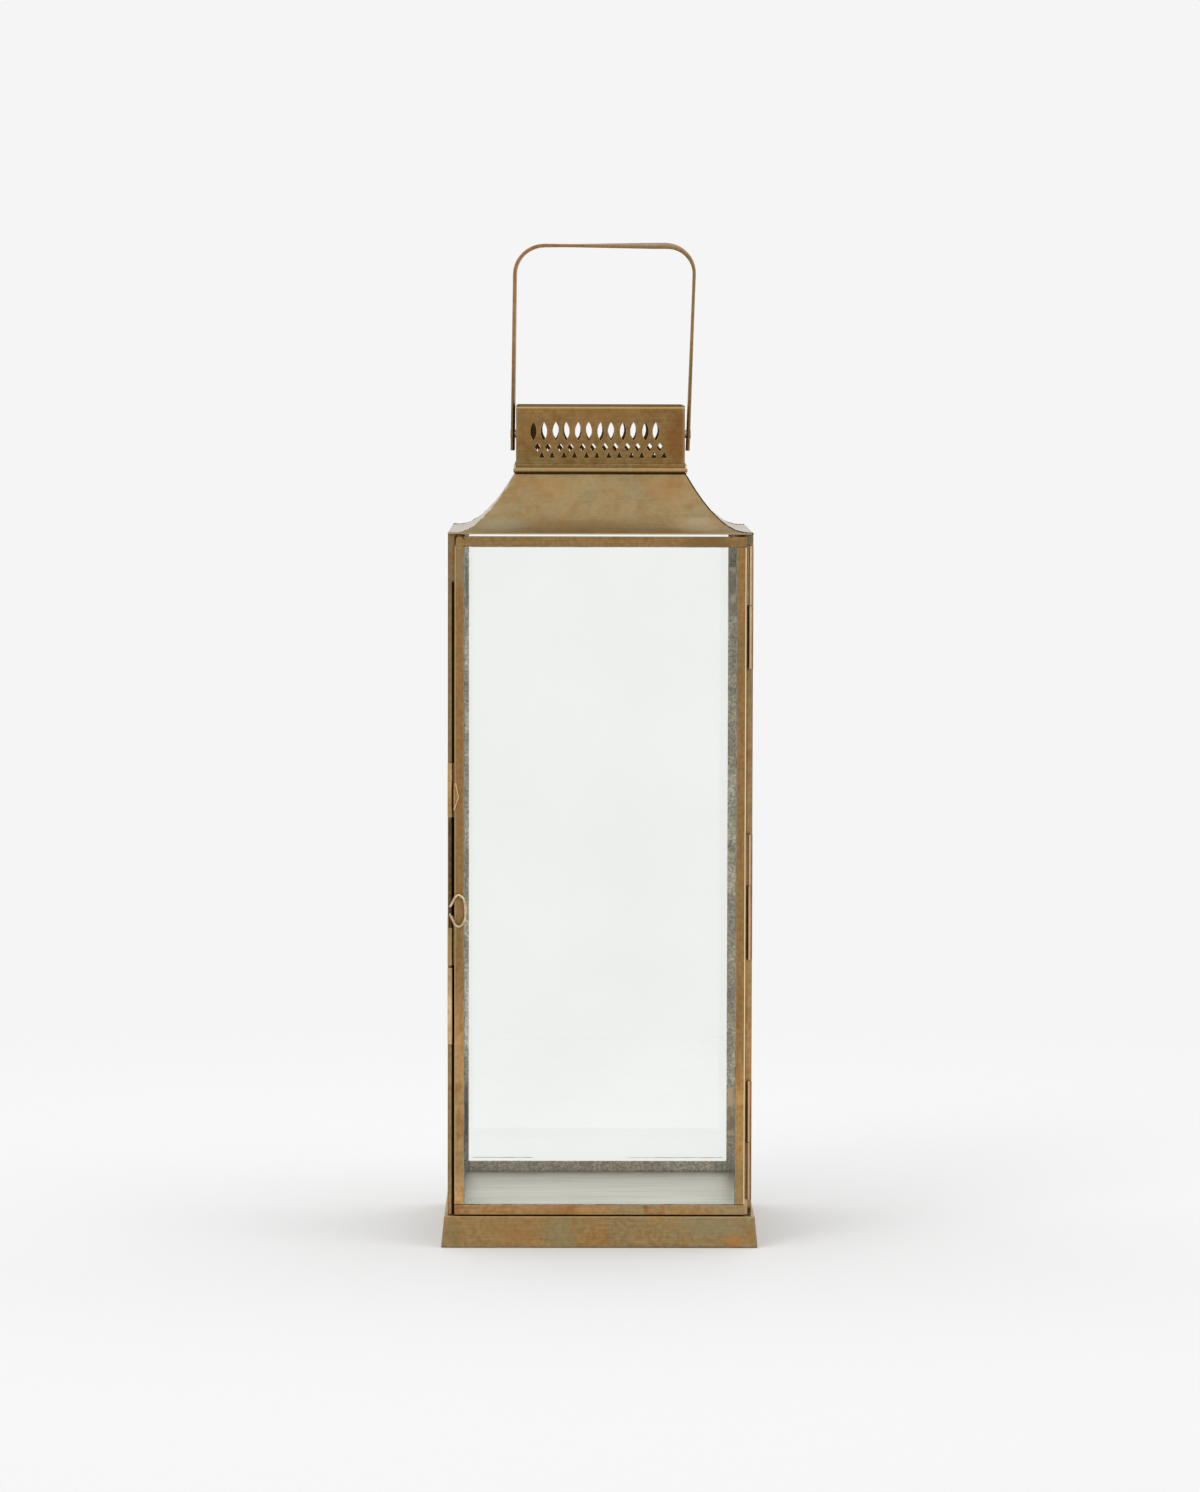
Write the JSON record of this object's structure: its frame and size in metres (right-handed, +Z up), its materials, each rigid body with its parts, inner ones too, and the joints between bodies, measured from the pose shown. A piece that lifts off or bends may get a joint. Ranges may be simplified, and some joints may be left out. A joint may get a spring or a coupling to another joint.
{
  "type": "candle lantern",
  "caption": "Tall square glazed iron lantern in an aged brass finish, with a hinged front door, a sliding bolt, a concave roof, a pierced vent collar and a swinging strap handle.",
  "frame": {"origin": "centre of the base at floor level", "axes": "+Z up, the door faces -Y, its hinges are on +X"},
  "size_m": [0.15, 0.15, 0.4754],
  "materials": {
    "aged_brass": "brass-plated sheet iron, satin and unevenly aged to olive and orange brown",
    "dark_brass": "brass-plated iron, darkened",
    "bright_brass": "pale polished wire",
    "galvanised_iron": "mottled galvanised grey",
    "clear_glass": "clear float glass with a faint green cast"
  },
  "bodies": {
    "frame": {"base_skirt_front": "aged_brass", "base_skirt_right": "aged_brass", "base_skirt_back": "aged_brass", "base_skirt_left": "aged_brass", "post_front_left": "aged_brass", "post_front_right": "aged_brass", "post_back_right": "aged_brass", "post_back_left": "aged_brass", "bottom_rail_front": "aged_brass", "bottom_rail_right": "aged_brass", "bottom_rail_back": "aged_brass", "bottom_rail_left": "aged_brass", "top_rail_right": "aged_brass", "top_rail_back": "aged_brass", "top_rail_left": "aged_brass", "floor_plate": "galvanised_iron", "glass_pane_right": "clear_glass", "glass_pane_back": "clear_glass", "glass_pane_left": "clear_glass", "glass_clip_front_left_upper": "galvanised_iron", "glass_clip_front_left_lower": "galvanised_iron", "glass_clip_front_right_upper": "galvanised_iron", "glass_clip_front_right_lower": "galvanised_iron", "glass_clip_back_right_upper": "galvanised_iron", "glass_clip_back_right_lower": "galvanised_iron", "glass_clip_back_left_upper": "galvanised_iron", "glass_clip_back_left_lower": "galvanised_iron", "roof_panel_front": "aged_brass", "roof_panel_right": "aged_brass", "roof_panel_back": "aged_brass", "roof_panel_left": "aged_brass", "vent_collar": "aged_brass", "collar_moulding_front": "aged_brass", "collar_moulding_right": "aged_brass", "collar_moulding_back": "aged_brass", "collar_moulding_left": "aged_brass", "hinge_knuckle_post_upper": "aged_brass", "hinge_knuckle_post_middle": "aged_brass", "hinge_knuckle_post_lower": "aged_brass", "hinge_pin_upper": "dark_brass", "hinge_pin_middle": "dark_brass", "hinge_pin_lower": "dark_brass", "bolt_keeper": "aged_brass", "handle_rivet_left": "dark_brass", "handle_rivet_right": "dark_brass"},
    "door": {"door_rail_top": "aged_brass", "door_rail_bottom": "aged_brass", "door_stile_left": "aged_brass", "door_stile_right": "aged_brass", "door_glass": "clear_glass", "hinge_knuckle_door_upper": "aged_brass", "hinge_knuckle_door_middle": "aged_brass", "hinge_knuckle_door_lower": "aged_brass", "bolt_guide_upper": "aged_brass", "bolt_guide_lower": "aged_brass"},
    "bolt": {"bolt_rod": "dark_brass", "bolt_ring": "bright_brass"},
    "handle": {"handle_strap": "aged_brass"}
  },
  "joints": [
    {"name": "door_swing", "type": "hinge", "parent": "frame", "child": "door", "pos_m": [0.07095, -0.0694, 0.17605], "axis": [0, 0, 1], "range_deg": [0, 165]},
    {"name": "bolt_slide", "type": "slide", "parent": "door", "child": "bolt", "axis": [0, 0, 1], "range_m": [-0.005, 0.04]},
    {"name": "handle_swing", "type": "hinge", "parent": "frame", "child": "handle", "pos_m": [0, 0, 0.38425], "axis": [1, 0, 0], "range_deg": [-100, 100]}
  ]
}
